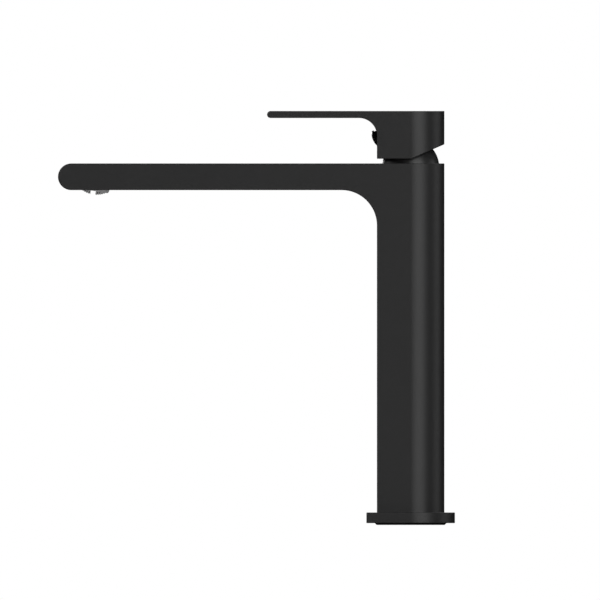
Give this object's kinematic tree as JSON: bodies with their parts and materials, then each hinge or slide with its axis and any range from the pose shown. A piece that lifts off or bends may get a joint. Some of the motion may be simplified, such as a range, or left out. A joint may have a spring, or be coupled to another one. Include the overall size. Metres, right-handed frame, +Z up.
{
  "type": "basin mixer tap",
  "caption": "Tall single-lever basin mixer with a straight flat spout, U-shaped column on a foot plate, flat lever handle, ceramic-disc cartridge and ball-jointed aerator.",
  "frame": {"origin": "on the deck, where the column's axis (the axis the handle turns about) meets the underside of the foot seal", "axes": "+Z up along the column, -Y forward along the spout, +X to the right of a person facing the mixer"},
  "size_m": [0.063, 0.2825, 0.2946],
  "materials": {
    "black_coat": "matt black powder coat, fine even grain",
    "black_gloss": "polished black",
    "black_rubber": "matt moulded rubber",
    "brass": "machined",
    "copper": "drawn tube",
    "steel": "plain stainless",
    "white_plastic": "moulded",
    "blue_plastic": "moulded",
    "ceramic": "lapped",
    "grey_plastic": "moulded"
  },
  "bodies": {
    "body": {"body_casing": "black_coat", "base_plate": "black_coat", "foot_seal": "black_rubber", "foot_block": "brass", "foot_screw_left": "steel", "foot_screw_right": "steel", "hot_riser": "copper", "cold_riser": "copper", "hot_riser_lower_o_ring": "black_rubber", "hot_riser_upper_o_ring": "black_rubber", "cold_riser_lower_o_ring": "black_rubber", "cold_riser_upper_o_ring": "black_rubber", "cartridge_seat": "brass", "seat_o_ring": "black_rubber", "cup_o_ring": "black_rubber", "hot_port_seal": "black_rubber", "cold_port_seal": "black_rubber", "outlet_port_seal": "black_rubber", "cartridge_base": "white_plastic", "disc_gasket": "black_rubber", "fixed_disc": "ceramic", "cartridge_housing": "white_plastic", "temperature_limiter": "blue_plastic", "cartridge_nut": "brass", "dome_cover": "black_coat", "aerator_housing": "grey_plastic", "aerator_washer": "black_rubber", "aerator_o_ring": "black_rubber"},
    "rotor": {"cartridge_rotor": "blue_plastic", "pivot_pin": "steel"},
    "handle": {"handle": "black_coat", "spindle": "brass", "handle_screw": "steel", "handle_plug": "black_gloss"},
    "disc": {"disc_carrier": "blue_plastic", "moving_disc": "ceramic"},
    "swivel": {"swivel_seat": "white_plastic"},
    "nozzle": {"aerator_ball": "grey_plastic", "jet_insert": "grey_plastic", "flow_screen": "steel"}
  },
  "joints": [
    {"name": "handle_turn", "type": "hinge", "parent": "body", "child": "rotor", "pos_m": [0, 0, 0.2547], "axis": [0, 0, 1], "range_deg": [-50, 50]},
    {"name": "handle_lift", "type": "hinge", "parent": "rotor", "child": "handle", "pos_m": [0, 0, 0.2547], "axis": [-1, 0, 0], "range_deg": [0, 25]},
    {"name": "disc_slide", "type": "slide", "parent": "rotor", "child": "disc", "axis": [0, -1, 0], "range_m": [0, 0.0052]},
    {"name": "aerator_turn", "type": "hinge", "parent": "body", "child": "swivel", "pos_m": [0, -0.2249, 0.2424], "axis": [0, 0, 1], "continuous": true},
    {"name": "aerator_tilt", "type": "hinge", "parent": "swivel", "child": "nozzle", "pos_m": [0, -0.2249, 0.2424], "axis": [1, 0, 0], "range_deg": [-2, 16]}
  ],
  "couplings": [
    {"joint": "disc_slide", "follows": "handle_lift", "m_per_rad": 0.0118}
  ]
}
